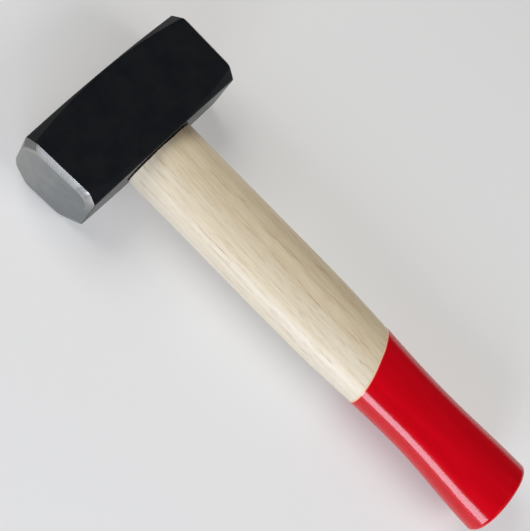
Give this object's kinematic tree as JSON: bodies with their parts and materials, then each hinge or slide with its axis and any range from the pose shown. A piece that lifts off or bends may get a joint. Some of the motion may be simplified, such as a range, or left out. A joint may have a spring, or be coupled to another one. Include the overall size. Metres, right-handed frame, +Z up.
{
  "type": "club hammer",
  "caption": "Club hammer with a short block head, flat bevelled striking faces and an oval ash handle with a dipped red grip.",
  "frame": {"origin": "centre of the lower cheek, the face the head lies on, straight below the centre of the eye", "axes": "+X along the handle from the head to the butt, +Y along the head towards one striking face, +Z up towards the other cheek"},
  "size_m": [0.26, 0.0954, 0.0376],
  "materials": {
    "ground_steel": "finely ground, slightly hazy",
    "black_enamel": "satin enamel",
    "ash_wood": "sanded, satin lacquer",
    "wedge_wood": "sawn",
    "wedge_steel": "rolled, dull",
    "red_grip": "dipped, glossy"
  },
  "bodies": {
    "root": {"hammer_head": "ground_steel", "head_enamel": "black_enamel", "handle": "ash_wood", "wood_wedge": "wedge_wood", "steel_wedge_1": "wedge_steel", "steel_wedge_2": "wedge_steel", "grip_coat": "red_grip"}
  },
  "joints": []
}
